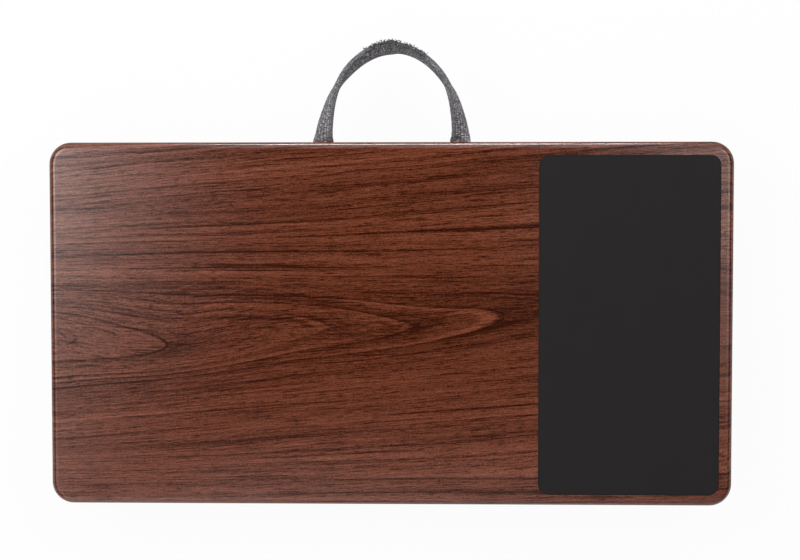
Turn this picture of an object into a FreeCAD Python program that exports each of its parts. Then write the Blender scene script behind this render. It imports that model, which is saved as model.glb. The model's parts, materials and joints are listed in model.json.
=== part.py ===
"""Lap desk for a laptop: a film-wrapped board with an inlaid mouse pad, a cloth carrying
handle at its rear edge, and a deck with two stuffed bolsters under it.

Millimetres, +Z up. The desk lies on its bolsters on z = 0, +Y points at the handle,
and the origin is under the middle of the outline of the whole desk, handle included.
"""

import FreeCAD, Part
import Sketcher
import math
import os
from FreeCAD import Vector

doc = FreeCAD.newDocument("LapDesk")


# Driving dimensions, one row of the sheet each: alias, value in mm (or degrees), meaning
SIZES = (
    ("board_width", 530, "board, left to right"),
    ("board_depth", 282, "board, front to rear"),
    ("board_thickness", 10, "board with its film and backing"),
    ("board_corner_radius", 17, "board corners in plan"),
    ("edge_roundover", 5.5, "rounded upper edge of the board"),
    ("film_thickness", 0.4, "woodgrain film pressed over the board"),
    ("backing_thickness", 0.4, "backing sheet under the core"),
    ("pad_width", 139, "mouse pad, left to right"),
    ("pad_depth", 262.5, "mouse pad, front to rear"),
    ("pad_thickness", 1.2, "mouse pad sheet"),
    ("pad_corner_radius", 8, "mouse pad corners in plan"),
    ("pad_edge_round", 0.3, "softened upper edge of the mouse pad"),
    ("pad_side_margin", 10.8, "right edge of the board to the mouse pad"),
    ("pad_front_shift", 0.8, "mouse pad forward of the middle of the board"),
    ("pad_setback", 0.1, "mouse pad below the board's surface"),
    ("recess_clearance", 0.2, "recess round the mouse pad, each side"),
    ("adhesive_thickness", 0.2, "adhesive sheet under the mouse pad"),
    ("adhesive_inset", 3, "adhesive sheet inside the mouse pad's outline"),
    ("deck_inset", 12, "deck inside the board's outline"),
    ("deck_corner_radius", 14, "deck corners in plan"),
    ("cloth_thickness", 0.8, "base cloth under the deck"),
    ("bolster_height", 44.2, "bolsters, floor to base cloth"),
    ("vent_gap", 40, "channel between the two covers"),
    ("seam_flange", 8, "sewn border round each bolster"),
    ("cover_thickness", 1.2, "cloth of the bolster covers"),
    ("bolster_corner_radius", 36, "bolster corners at the seam, in plan"),
    ("bolster_bulge", 5, "belly of a bolster beyond its seam"),
    ("bolster_bow", 9, "bow of a bolster's sides in plan, at most"),
    ("rest_inset", 34, "belly to the flat that the bolster rests on"),
    ("fill_clearance", 0.3, "filling to cover"),
    ("strap_width", 16, "handle strap"),
    ("strap_thickness", 3, "folded cloth of the handle strap"),
    ("strap_edge_crown", 0.8, "rounding of the strap's two edges"),
    ("handle_span", 106.6, "handle, leg to leg, between strap centres"),
    ("handle_rise", 67.3, "arch of the handle beyond its pivot"),
    ("handle_lean", 115, "twist of the strap at the top of the arch, degrees"),
    ("hinge_gap", 6, "rear edge of the board to the handle's pivot"),
    ("hinge_clearance", 0.3, "handle to its sewn-in tabs"),
    ("tab_anchor", 30, "tab length held in the deck's notch"),
    ("notch_clearance", 0.3, "notch round a tab, each side"),
    ("staple_crown", 10, "staple, outside its legs"),
    ("staple_leg", 9, "staple leg with the crown"),
    ("staple_wire", 0.9, "staple wire, across"),
    ("staple_wire_depth", 0.6, "staple wire, through its thickness"),
    ("tab_staple_pitch", 12, "the two staples of a tab, one to the next"),
    ("deck_staple_inset", 18, "deck staples inside the deck's outline"),
)

# Share of the full lean at each share of a leg, from the pivot to the top of the arch
LEG_SHARES = (0.0, 0.02, 0.04, 0.09, 0.14, 0.21, 0.30, 0.41, 0.55, 0.70, 0.85, 1.0)
LEAN_SHARES = (0.0, 0.0, 0.03, 0.22, 0.40, 0.55, 0.68, 0.79, 0.89, 0.95, 0.99, 1.0)

# Places round a bolster's side, in degrees: floor to belly, then belly to seam
FLOOR_TO_BELLY = (0, 25, 55, 90)
BELLY_TO_SEAM = (35, 60)
BELLY_HEIGHT_SHARE = 0.56
BOW_SHARES = (1.0, 0.92, 0.72, 0.55, 0.38, 0.14)

# Staple places on the deck, as shares of the half width and half depth they follow
DECK_STAPLE_SHARES = ((-1, -1), (0, -1), (1, -1), (-1, 0), (1, 0), (-1, 1), (0, 1), (1, 1))


def fill_sheet():
    """Writes the driving dimensions into the document's spreadsheet."""
    sheet = doc.addObject("Spreadsheet::Sheet", "Sizes")
    for row, (alias, value, meaning) in enumerate(SIZES, start=1):
        sheet.set(f"A{row}", meaning)
        sheet.set(f"B{row}", str(value))
        sheet.setAlias(f"B{row}", alias)
    doc.recompute()
    return sheet


sizes = fill_sheet()


def size(expression):
    """The value of an expression in the sheet's aliases, in mm or degrees."""
    return float(sizes.evalExpression(expression))


# Places that several pieces share, as expressions in the sheet's aliases.
# The deck is as thick as the strap, so that a tab fills its notch.
DECK_THICKNESS = "Sizes.strap_thickness"
CLOTH_BOTTOM = "Sizes.bolster_height"
DECK_BOTTOM = f"({CLOTH_BOTTOM} + Sizes.cloth_thickness)"
BOARD_BOTTOM = f"({DECK_BOTTOM} + {DECK_THICKNESS})"
BOARD_TOP = f"({BOARD_BOTTOM} + Sizes.board_thickness)"
CORE_BOTTOM = f"({BOARD_BOTTOM} + Sizes.backing_thickness)"
RECESS_DEPTH = "(Sizes.adhesive_thickness + Sizes.pad_thickness + Sizes.pad_setback)"
RECESS_FLOOR = f"({BOARD_TOP} - {RECESS_DEPTH})"
STRAP_REACH = (
    "((Sizes.strap_width / 2 - Sizes.strap_edge_crown) * abs(cos(Sizes.handle_lean * 1 deg))"
    " + Sizes.strap_thickness / 2 * sin(Sizes.handle_lean * 1 deg))"
)
HANDLE_REACH = f"(Sizes.hinge_gap + Sizes.handle_rise + {STRAP_REACH})"
BOARD_CENTRE_Y = f"(-{HANDLE_REACH} / 2)"
REAR_EDGE_Y = f"({BOARD_CENTRE_Y} + Sizes.board_depth / 2)"
PAD_CENTRE_X = "(Sizes.board_width / 2 - Sizes.pad_side_margin - Sizes.pad_width / 2)"
PAD_CENTRE_Y = f"({BOARD_CENTRE_Y} - Sizes.pad_front_shift)"
PIVOT_Y = f"({REAR_EDGE_Y} + Sizes.hinge_gap)"
PIVOT_Z = f"({BOARD_BOTTOM} - Sizes.strap_thickness / 2)"
DECK_WIDTH = "(Sizes.board_width - 2 * Sizes.deck_inset)"
DECK_DEPTH = "(Sizes.board_depth - 2 * Sizes.deck_inset)"
DECK_REAR_Y = f"({BOARD_CENTRE_Y} + {DECK_DEPTH} / 2)"
COVER_WIDTH = f"(({DECK_WIDTH} - Sizes.vent_gap) / 2)"
BOLSTER_HALF_WIDTH = f"({COVER_WIDTH} / 2 - Sizes.seam_flange + Sizes.bolster_bulge)"
BOLSTER_HALF_DEPTH = f"({DECK_DEPTH} / 2 - Sizes.seam_flange + Sizes.bolster_bulge)"
BOLSTER_X = f"((Sizes.vent_gap + {COVER_WIDTH}) / 2)"


def new_body(label, x="0", y="0", z="0"):
    """An empty body whose place follows the sheet."""
    body = doc.addObject("PartDesign::Body", label)
    body.Label = label
    for axis, place in zip("xyz", (x, y, z)):
        body.setExpression(f".Placement.Base.{axis}", place)
    return body


def new_sketch(body, name, x="0", y="0", z="0", role="XY_Plane"):
    """An empty sketch on one of a body's own planes, moved within the body's frame."""
    sketch = body.newObject("Sketcher::SketchObject", name)
    plane = next(f for f in body.Origin.OriginFeatures if f.Role == role)
    sketch.AttachmentSupport = (plane, [""])
    sketch.MapMode = "FlatFace"
    for axis, place in zip("xyz", (x, y, z)):
        sketch.setExpression(f".AttachmentOffset.Base.{axis}", place)
    return sketch


def drive(sketch, name, constraint, expression):
    """Adds a sized constraint that follows an expression."""
    index = sketch.addConstraint(constraint)
    sketch.renameConstraint(index, name)
    sketch.setExpression(f"Constraints.{name}", expression)


def rectangle(sketch, width, depth, radius=None):
    """Draws a rectangle about the sketch's origin, with round corners if radius is given."""
    half_w, half_d = size(width) / 2, size(depth) / 2
    r = size(radius) if radius else 0.0
    sides = (
        (Vector(-half_w + r, -half_d), Vector(half_w - r, -half_d)),
        (Vector(half_w, -half_d + r), Vector(half_w, half_d - r)),
        (Vector(half_w - r, half_d), Vector(-half_w + r, half_d)),
        (Vector(-half_w, half_d - r), Vector(-half_w, -half_d + r)),
    )
    for side, (start, end) in enumerate(sides):
        sketch.addGeometry(Part.LineSegment(start, end), False)
        sketch.addConstraint(Sketcher.Constraint(("Horizontal", "Vertical")[side % 2], side))
    if radius:
        round_corners(sketch, radius, r)
    else:
        for side in range(4):
            sketch.addConstraint(Sketcher.Constraint("Coincident", side, 2, (side + 1) % 4, 1))
    drive(sketch, "width", Sketcher.Constraint("DistanceX", 3, 1, 1, 1, 2 * half_w), width)
    drive(sketch, "depth", Sketcher.Constraint("DistanceY", 0, 1, 2, 1, 2 * half_d), depth)
    sketch.addConstraint(Sketcher.Constraint("Symmetric", 0, 1, 2, 1, -1, 1))


def round_corners(sketch, radius, r):
    """Joins the four sides of a rectangle by tangent arcs of one radius."""
    for side in range(4):
        end = sketch.Geometry[side].EndPoint
        start = sketch.Geometry[(side + 1) % 4].StartPoint
        turn = -90 + 90 * side
        centre = (Vector(end.x, start.y), Vector(start.x, end.y))[side % 2]
        circle = Part.Circle(centre, Vector(0, 0, 1), r)
        arc = Part.ArcOfCircle(circle, math.radians(turn), math.radians(turn + 90))
        corner = sketch.addGeometry(arc, False)
        sketch.addConstraint(Sketcher.Constraint("Tangent", side, 2, corner, 1))
        sketch.addConstraint(Sketcher.Constraint("Tangent", corner, 2, (side + 1) % 4, 1))
        if side:
            sketch.addConstraint(Sketcher.Constraint("Equal", 4, corner))
    drive(sketch, "corner_radius", Sketcher.Constraint("Radius", 4, r), radius)


def bowed_rectangle(sketch, half_width, half_depth, radius, bow):
    """Draws a rectangle with round corners whose four sides bow outwards."""
    half_w, half_d, r = size(half_width), size(half_depth), size(radius)
    side_radius = f"({half_depth} * {half_depth} + {bow} * {bow}) / (2 * {bow})"
    end_radius = f"({half_width} * {half_width} + {bow} * {bow}) / (2 * {bow})"
    big_x, big_y = size(side_radius), size(end_radius)
    right, rear = Vector(half_w - big_x, 0), Vector(0, half_d - big_y)
    corner = corner_centre(right, big_x - r, rear, big_y - r)
    side_turn = math.atan2(corner.y, corner.x - right.x)
    end_turn = math.atan2(corner.y - rear.y, corner.x)
    quarter = math.pi / 2
    for index in range(4):
        centre, large = ((right, big_x), (rear, big_y), (-right, big_x), (-rear, big_y))[index]
        spread = (side_turn, quarter - end_turn)[index % 2]
        facing = quarter * index
        sketch.addGeometry(arc_about(centre, large, facing - spread, facing + spread))
    for index in range(4):
        centre = Vector(corner.x * (1, -1, -1, 1)[index], corner.y * (1, 1, -1, -1)[index])
        start = quarter * index + (side_turn, quarter - end_turn)[index % 2]
        end = quarter * (index + 1) - (quarter - end_turn, side_turn)[index % 2]
        sketch.addGeometry(arc_about(centre, r, start, end))
        sketch.addConstraint(Sketcher.Constraint("Tangent", index, 2, 4 + index, 1))
        sketch.addConstraint(Sketcher.Constraint("Tangent", 4 + index, 2, (index + 1) % 4, 1))
        if index:
            sketch.addConstraint(Sketcher.Constraint("Equal", 4, 4 + index))
    drive(sketch, "corner_radius", Sketcher.Constraint("Radius", 4, r), radius)
    drive(sketch, "side_radius", Sketcher.Constraint("Radius", 0, big_x), side_radius)
    drive(sketch, "end_radius", Sketcher.Constraint("Radius", 1, big_y), end_radius)
    sketch.addConstraint(Sketcher.Constraint("Equal", 0, 2))
    sketch.addConstraint(Sketcher.Constraint("Equal", 1, 3))
    for index in range(4):
        sketch.addConstraint(Sketcher.Constraint("PointOnObject", index, 3, (-1, -2)[index % 2]))
    beyond = (f"{side_radius} - {half_width}", f"{end_radius} - {half_depth}")
    drive(sketch, "right_side", Sketcher.Constraint("DistanceX", 0, 3, -1, 1, -right.x), beyond[0])
    drive(sketch, "rear_side", Sketcher.Constraint("DistanceY", 1, 3, -1, 1, -rear.y), beyond[1])
    drive(sketch, "left_side", Sketcher.Constraint("DistanceX", -1, 1, 2, 3, -right.x), beyond[0])
    drive(sketch, "front_side", Sketcher.Constraint("DistanceY", -1, 1, 3, 3, -rear.y), beyond[1])


def arc_about(centre, radius, start, end):
    """An arc in the sketch plane, counter-clockwise between two angles in radians."""
    return Part.ArcOfCircle(Part.Circle(centre, Vector(0, 0, 1), radius), start, end)


def corner_centre(first, first_reach, second, second_reach):
    """Where two circles meet in the quarter of positive X and Y."""
    across = second - first
    gap = across.Length
    along = (first_reach**2 - second_reach**2 + gap**2) / (2 * gap)
    aside = math.sqrt(first_reach**2 - along**2)
    forward = across / gap
    return first + forward * along + Vector(-forward.y, forward.x) * aside


def pad(body, sketch, name, length):
    """Raises a sketch into a solid of that length."""
    feature = body.newObject("PartDesign::Pad", name)
    feature.Profile = sketch
    feature.setExpression("Length", length)
    doc.recompute()
    return feature


def pocket(body, sketch, name, depth):
    """Cuts a sketch down into the solid, to that depth."""
    before = body.Shape.Volume
    feature = body.newObject("PartDesign::Pocket", name)
    feature.Profile = sketch
    feature.setExpression("Length", depth)
    doc.recompute()
    if not body.Shape.Volume < before:
        raise RuntimeError(f"{name} cut nothing")
    return feature


def round_upper_edges(body, base, name, radius):
    """Rounds the edges that run round the top of a flat piece."""
    middle = base.Shape.BoundBox.Center.z
    edges = [
        f"Edge{number}"
        for number, edge in enumerate(base.Shape.Edges, start=1)
        if all(vertex.Z > middle for vertex in edge.Vertexes)
    ]
    feature = body.newObject("PartDesign::Fillet", name)
    feature.Base = (base, edges)
    feature.setExpression("Radius", radius)
    doc.recompute()
    return feature


def slab(label, width, depth, radius, thickness, x="0", y=BOARD_CENTRE_Y, z="0"):
    """A flat piece with round corners, under or on the middle of the board."""
    body = new_body(label, x, y, z)
    outline = new_sketch(body, f"{label}_outline")
    rectangle(outline, width, depth, radius)
    pad(body, outline, f"{label}_sheet", thickness)
    return body


def board_blank(label, skin, bottom):
    """The board's rounded form with the mouse pad's recess, a skin smaller all round."""
    body = slab(
        label,
        f"(Sizes.board_width - 2 * {skin})",
        f"(Sizes.board_depth - 2 * {skin})",
        f"(Sizes.board_corner_radius - {skin})",
        f"({BOARD_TOP} - {bottom} - {skin})",
        z=bottom,
    )
    round_upper_edges(body, body.Tip, f"{label}_roundover", f"(Sizes.edge_roundover - {skin})")
    level = f"{BOARD_TOP} - {bottom} - {skin}"
    mouth = new_sketch(body, f"{label}_recess_outline", PAD_CENTRE_X, "-Sizes.pad_front_shift", level)
    margin = f"(Sizes.recess_clearance + {skin})"
    rectangle(
        mouth,
        f"(Sizes.pad_width + 2 * {margin})",
        f"(Sizes.pad_depth + 2 * {margin})",
        f"(Sizes.pad_corner_radius + {margin})",
    )
    pocket(body, mouth, f"{label}_recess", RECESS_DEPTH)
    return body


def cut(label, base, tool):
    """One solid less another, both kept in the document."""
    feature = doc.addObject("Part::Cut", label)
    feature.Label = label
    feature.Base = base
    feature.Tool = tool
    doc.recompute()
    return feature


def make_board():
    """The fibreboard core, the film pressed round it, its backing, and the mouse pad inlay."""
    core = board_blank("board_core", "Sizes.film_thickness", CORE_BOTTOM)
    backing = slab(
        "backing_sheet",
        "(Sizes.board_width - 2 * Sizes.film_thickness)",
        "(Sizes.board_depth - 2 * Sizes.film_thickness)",
        "(Sizes.board_corner_radius - Sizes.film_thickness)",
        "Sizes.backing_thickness",
        z=BOARD_BOTTOM,
    )
    blank = board_blank("film_blank", "0", BOARD_BOTTOM)
    wrapped = cut("film_over_core", blank, core)
    film = cut("woodgrain_film", wrapped, backing)
    adhesive = slab(
        "pad_adhesive",
        "(Sizes.pad_width - 2 * Sizes.adhesive_inset)",
        "(Sizes.pad_depth - 2 * Sizes.adhesive_inset)",
        "(Sizes.pad_corner_radius - Sizes.adhesive_inset)",
        "Sizes.adhesive_thickness",
        PAD_CENTRE_X,
        PAD_CENTRE_Y,
        RECESS_FLOOR,
    )
    mouse_pad = slab(
        "mouse_pad",
        "Sizes.pad_width",
        "Sizes.pad_depth",
        "Sizes.pad_corner_radius",
        "Sizes.pad_thickness",
        PAD_CENTRE_X,
        PAD_CENTRE_Y,
        f"({RECESS_FLOOR} + Sizes.adhesive_thickness)",
    )
    round_upper_edges(mouse_pad, mouse_pad.Tip, "mouse_pad_edge", "Sizes.pad_edge_round")
    return [core, film, backing, adhesive, mouse_pad]


def make_deck():
    """The hardboard deck with a notch for each handle tab, and the base cloth under it."""
    deck = slab(
        "deck_panel",
        DECK_WIDTH,
        DECK_DEPTH,
        "Sizes.deck_corner_radius",
        DECK_THICKNESS,
        z=DECK_BOTTOM,
    )
    for side, sign in (("left", "-"), ("right", "")):
        length = "(Sizes.tab_anchor + Sizes.notch_clearance)"
        notch = new_sketch(
            deck,
            f"notch_{side}_outline",
            f"{sign}Sizes.handle_span / 2",
            f"{DECK_DEPTH} / 2 - {length} / 2",
            DECK_THICKNESS,
        )
        rectangle(notch, "(Sizes.strap_width + 2 * Sizes.notch_clearance)", length)
        pocket(deck, notch, f"notch_{side}", DECK_THICKNESS)
    cloth = slab(
        "base_cloth",
        DECK_WIDTH,
        DECK_DEPTH,
        "Sizes.deck_corner_radius",
        "Sizes.cloth_thickness",
        z=CLOTH_BOTTOM,
    )
    return [deck, cloth]


def bolster_sections(body, prefix, skin):
    """Outlines round a bolster, from its flat on the floor up to its seam, a skin smaller."""
    belly = math.sin(math.radians(BELLY_TO_SEAM[-1]))
    draw_in = 1 - math.cos(math.radians(BELLY_TO_SEAM[-1]))
    places = []
    for degrees in FLOOR_TO_BELLY:
        turn = math.radians(degrees)
        places.append((BELLY_HEIGHT_SHARE * (1 - math.cos(turn)), "rest_inset", 1 - math.sin(turn)))
    for degrees in BELLY_TO_SEAM:
        turn = math.radians(degrees)
        height = BELLY_HEIGHT_SHARE + (1 - BELLY_HEIGHT_SHARE) * math.sin(turn) / belly
        places.append((height, "bolster_bulge", (1 - math.cos(turn)) / draw_in))
    sketches = []
    for number, ((height, inset, share), bow) in enumerate(zip(places, BOW_SHARES)):
        drawn_in = f"(Sizes.{inset} * {share:.6f} + {skin})"
        level = f"{skin} + (Sizes.bolster_height - {skin}) * {height:.6f}"
        sketch = new_sketch(body, f"{prefix}_{number}", z=level)
        bowed_rectangle(
            sketch,
            f"({BOLSTER_HALF_WIDTH} - {drawn_in})",
            f"({BOLSTER_HALF_DEPTH} - {drawn_in})",
            f"(Sizes.bolster_corner_radius - {skin})",
            f"(Sizes.bolster_bow * {bow})",
        )
        sketches.append(sketch)
    doc.recompute()
    return sketches


def loft(body, kind, name, sketches):
    """Lofts a smooth solid, or hollow, through a row of outlines."""
    feature = body.newObject(f"PartDesign::{kind}", name)
    feature.Profile = sketches[0]
    feature.Sections = sketches[1:]
    doc.recompute()
    return feature


def make_bolster(side, sign):
    """A sewn cover with a flat seam border, open towards the deck, and its filling."""
    x = f"{sign}{BOLSTER_X}"
    cover = new_body(f"bolster_cover_{side}", x, BOARD_CENTRE_Y)
    level = "Sizes.bolster_height - Sizes.cover_thickness"
    border = new_sketch(cover, f"border_{side}_outline", z=level)
    rectangle(border, COVER_WIDTH, DECK_DEPTH, "Sizes.deck_corner_radius")
    pad(cover, border, f"border_{side}", "Sizes.cover_thickness")
    loft(cover, "AdditiveLoft", f"crown_{side}", bolster_sections(cover, f"crown_{side}", "0"))
    inside = bolster_sections(cover, f"hollow_{side}", "Sizes.cover_thickness")
    loft(cover, "SubtractiveLoft", f"hollow_{side}", inside)
    filling = new_body(f"bolster_fill_{side}", x, BOARD_CENTRE_Y)
    skin = "(Sizes.cover_thickness + Sizes.fill_clearance)"
    loft(filling, "AdditiveLoft", f"filling_{side}", bolster_sections(filling, f"fill_{side}", skin))
    return [cover, filling]


def strap_section(turn, lean):
    """One outline of the strap at an angle round the arch, twisted from flat by lean."""
    half_span, rise = size("Sizes.handle_span / 2"), size("Sizes.handle_rise")
    pivot = Vector(0, size(PIVOT_Y), size(PIVOT_Z))
    centre = pivot + Vector(half_span * math.cos(turn), rise * math.sin(turn))
    outwards = Vector(math.cos(turn) * rise, math.sin(turn) * half_span, 0).normalize()
    up = Vector(0, 0, 1)
    inwards = up * math.sin(lean) - outwards * math.cos(lean)
    half_width = inwards * size("Sizes.strap_width / 2")
    flat = inwards * size("Sizes.strap_width / 2 - Sizes.strap_edge_crown")
    through = (up * math.cos(lean) + outwards * math.sin(lean)) * size("Sizes.strap_thickness / 2")
    edges = (
        Part.LineSegment(centre - flat - through, centre + flat - through),
        Part.Arc(centre + flat - through, centre + half_width, centre + flat + through),
        Part.LineSegment(centre + flat + through, centre - flat + through),
        Part.Arc(centre - flat + through, centre - half_width, centre - flat - through),
    )
    return Part.Wire([edge.toShape() for edge in edges])


def make_handle_loop():
    """The free arch of the strap: flat at its pivot, on edge half way up, leaning out on top."""
    full_lean = math.radians(size("Sizes.handle_lean"))
    right = [(share * math.pi / 2, lean * full_lean) for share, lean in zip(LEG_SHARES, LEAN_SHARES)]
    left = [(math.pi - turn, lean) for turn, lean in reversed(right[:-1])]
    arch = Part.makeLoft([strap_section(turn, lean) for turn, lean in right + left], True)
    flat = size("Sizes.strap_width - 2 * Sizes.strap_edge_crown")
    half_thickness = size("Sizes.strap_thickness / 2")
    ends = []
    for sign in (-1, 1):
        start_x = sign * size("Sizes.handle_span / 2") - flat / 2
        start = Vector(start_x, size(PIVOT_Y), size(PIVOT_Z))
        ends.append(Part.makeCylinder(half_thickness, flat, start, Vector(1, 0, 0)))
    loop = doc.addObject("Part::Feature", "handle_loop")
    loop.Label = "handle_loop"
    loop.Shape = arch.fuse(ends)
    loop.Placement = FreeCAD.Placement()
    return loop


def make_tab(side, sign):
    """The end of the strap that lies under the board, in the deck's notch."""
    gap = "(Sizes.strap_thickness / 2 + Sizes.hinge_clearance)"
    length = f"({PIVOT_Y} - {gap} - {DECK_REAR_Y} + Sizes.tab_anchor)"
    middle = f"{DECK_REAR_Y} - Sizes.tab_anchor + {length} / 2"
    body = new_body(f"handle_tab_{side}", f"{sign}Sizes.handle_span / 2", middle, DECK_BOTTOM)
    outline = new_sketch(body, f"tab_{side}_outline")
    rectangle(outline, "Sizes.strap_width", length)
    pad(body, outline, f"tab_{side}", "Sizes.strap_thickness")
    return body


def make_staple():
    """One wire staple, legs up, with its crown's middle at its own origin."""
    body = new_body("staple")
    side = new_sketch(body, "staple_outline", role="XZ_Plane")
    half, leg = size("Sizes.staple_crown / 2"), size("Sizes.staple_leg")
    wire, deep = size("Sizes.staple_wire"), size("Sizes.staple_wire_depth")
    corners = (
        Vector(-half, 0),
        Vector(half, 0),
        Vector(half, leg),
        Vector(half - wire, leg),
        Vector(half - wire, deep),
        Vector(wire - half, deep),
        Vector(wire - half, leg),
        Vector(-half, leg),
    )
    count = len(corners)
    for index, corner in enumerate(corners):
        side.addGeometry(Part.LineSegment(corner, corners[(index + 1) % count]), False)
    for index in range(count):
        side.addConstraint(Sketcher.Constraint("Coincident", index, 2, (index + 1) % count, 1))
        side.addConstraint(Sketcher.Constraint(("Horizontal", "Vertical")[index % 2], index))
    side.addConstraint(Sketcher.Constraint("Symmetric", 0, 1, 0, 2, -1, 1))
    side.addConstraint(Sketcher.Constraint("Equal", 1, 7))
    side.addConstraint(Sketcher.Constraint("Equal", 2, 6))
    drive(side, "crown", Sketcher.Constraint("DistanceX", 0, 1, 0, 2, 2 * half), "Sizes.staple_crown")
    drive(side, "leg", Sketcher.Constraint("DistanceY", 1, 1, 1, 2, leg), "Sizes.staple_leg")
    drive(side, "wire", Sketcher.Constraint("DistanceX", 2, 2, 2, 1, wire), "Sizes.staple_wire")
    drive(side, "deep", Sketcher.Constraint("DistanceY", 0, 1, 4, 1, deep), "Sizes.staple_wire_depth")
    solid = pad(body, side, "staple_wire", "Sizes.staple_wire")
    solid.Midplane = True
    doc.recompute()
    return body


def staple_group(label, staple, places):
    """Staples driven up through a piece into the board, as one node of separate solids."""
    group = doc.addObject("Part::Feature", label)
    group.Label = label
    group.Shape = Part.makeCompound([staple.Shape.translated(place) for place in places])
    group.Placement = FreeCAD.Placement()
    return group


def make_staples():
    """Two staples through each handle tab, and a ring of them through the deck."""
    staple = make_staple()
    flush, pitch = size(DECK_BOTTOM), size("Sizes.tab_staple_pitch")
    middle = size(f"{DECK_REAR_Y} - Sizes.tab_anchor / 2")
    legs = [sign * size("Sizes.handle_span / 2") for sign in (-1, 1)]
    in_tabs = [Vector(x, middle + step * pitch / 2, flush) for x in legs for step in (-1, 1)]
    across = size(f"{DECK_WIDTH} / 2 - Sizes.deck_staple_inset")
    along = size(f"{DECK_DEPTH} / 2 - Sizes.deck_staple_inset")
    centre_y = size(BOARD_CENTRE_Y)
    in_deck = [Vector(x * across, centre_y + y * along, flush) for x, y in DECK_STAPLE_SHARES]
    return [
        staple_group("handle_staples", staple, in_tabs),
        staple_group("deck_staples", staple, in_deck),
    ]


def check(feature):
    """Stops the build if an object failed or its shape isn't a sound solid."""
    shape = feature.Shape
    if shape.isNull() or not shape.isValid() or not shape.Solids:
        raise RuntimeError(f"{feature.Label} has no sound solid")


def build():
    """Makes every piece of the desk, and returns those that are kept."""
    pieces = make_board() + make_deck()
    for side, sign in (("left", "-"), ("right", "")):
        pieces += make_bolster(side, sign)
        pieces.append(make_tab(side, sign))
    pieces.append(make_handle_loop())
    pieces += make_staples()
    doc.recompute()
    return pieces


def write(pieces):
    """Checks the whole document, then writes each piece to its own file."""
    failed = [o.Label for o in doc.Objects if {"Invalid", "Error"} & set(o.State)]
    if failed:
        raise RuntimeError(f"failed: {failed}")
    for piece in pieces:
        check(piece)
    os.makedirs("parts", exist_ok=True)
    for piece in pieces:
        piece.Shape.exportStep(os.path.join("parts", f"{piece.Label}.step"))
        box = piece.Shape.BoundBox
        print(
            f"{piece.Label}: {len(piece.Shape.Solids)} solid(s), {piece.Shape.Volume:.1f} mm3,"
            f" x {box.XMin:.2f}..{box.XMax:.2f}, y {box.YMin:.2f}..{box.YMax:.2f},"
            f" z {box.ZMin:.2f}..{box.ZMax:.2f}"
        )


write(build())
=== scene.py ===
"""Lap desk: a film-wrapped woodgrain board with an inlaid mouse pad and a cloth carrying handle,
on a deck with two stuffed bolsters. Metres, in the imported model's own frame: +Y to the handle.
"""

import json
import math
import random

import bmesh
import bpy
from mathutils import Matrix, Vector, noise


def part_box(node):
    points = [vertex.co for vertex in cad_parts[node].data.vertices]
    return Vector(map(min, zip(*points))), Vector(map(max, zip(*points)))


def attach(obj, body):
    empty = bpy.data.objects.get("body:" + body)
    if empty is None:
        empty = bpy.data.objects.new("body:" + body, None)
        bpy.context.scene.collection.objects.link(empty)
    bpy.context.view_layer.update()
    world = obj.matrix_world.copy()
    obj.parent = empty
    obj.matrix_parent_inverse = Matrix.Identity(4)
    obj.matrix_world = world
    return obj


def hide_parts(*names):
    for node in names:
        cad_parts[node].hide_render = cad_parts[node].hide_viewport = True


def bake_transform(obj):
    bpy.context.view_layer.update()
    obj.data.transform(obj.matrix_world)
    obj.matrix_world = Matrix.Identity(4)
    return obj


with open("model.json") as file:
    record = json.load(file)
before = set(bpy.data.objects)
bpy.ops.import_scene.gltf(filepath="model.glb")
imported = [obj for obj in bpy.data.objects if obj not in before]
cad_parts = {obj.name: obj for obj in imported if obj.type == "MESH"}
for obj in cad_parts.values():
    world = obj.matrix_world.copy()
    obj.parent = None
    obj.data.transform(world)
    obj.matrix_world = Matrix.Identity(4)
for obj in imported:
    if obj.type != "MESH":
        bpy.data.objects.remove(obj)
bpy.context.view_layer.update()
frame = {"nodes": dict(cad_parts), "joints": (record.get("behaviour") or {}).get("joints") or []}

# The board's core: a sheet of fibreboard, sawn to the outline and routed out for the mouse pad.
# Film and backing cover it on every side, so it shows only when the desk is taken apart.

MM = 0.001
FIBRE_SIZE = 0.8
FIBRE_DEPTH = 0.1 * MM
FIBREBOARD_TINTS = (
    (0.3, (0.26, 0.18, 0.11)),
    (0.52, (0.45, 0.34, 0.24)),
    (0.75, (0.58, 0.46, 0.34)),
)


class Wire:
    """A socket of a material. Arithmetic on it adds Math nodes, and add() puts in any other node."""

    def __init__(self, socket):
        self.socket = socket

    def put(self, sockets):
        """Sets or links inputs of the node that this socket belongs to."""
        for name, value in sockets.items():
            entry = self.socket.node.inputs[name]
            if isinstance(value, Wire):
                self.socket.id_data.links.new(value.socket, entry)
            else:
                entry.default_value = value
        return self

    def add(self, kind, settings, sockets, out=0):
        """A new node: its settings come first, then the values or links of its sockets."""
        node = self.socket.id_data.nodes.new("ShaderNode" + kind)
        for name, value in settings.items():
            if name == "stops":
                for _ in value[2:]:
                    node.color_ramp.elements.new(1)
                for element, (place, colour) in zip(node.color_ramp.elements, value):
                    element.position, element.color = place, (*colour, 1)
            elif name == "easing":
                node.color_ramp.interpolation = value
            else:
                setattr(node, name, value)
        return Wire(node.outputs[out]).put(sockets)

    def maths(self, operation, *operands):
        """One Math node on numbers or sockets."""
        return self.add("Math", {"operation": operation}, dict(enumerate(operands)))

    def __add__(self, other):
        return self.maths("ADD", self, other)

    def __sub__(self, other):
        return self.maths("SUBTRACT", self, other)

    def __rsub__(self, other):
        return self.maths("SUBTRACT", other, self)

    def __mul__(self, other):
        return self.maths("MULTIPLY", self, other)

    def __truediv__(self, other):
        return self.maths("DIVIDE", self, other)

    __radd__ = __add__
    __rmul__ = __mul__


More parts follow.
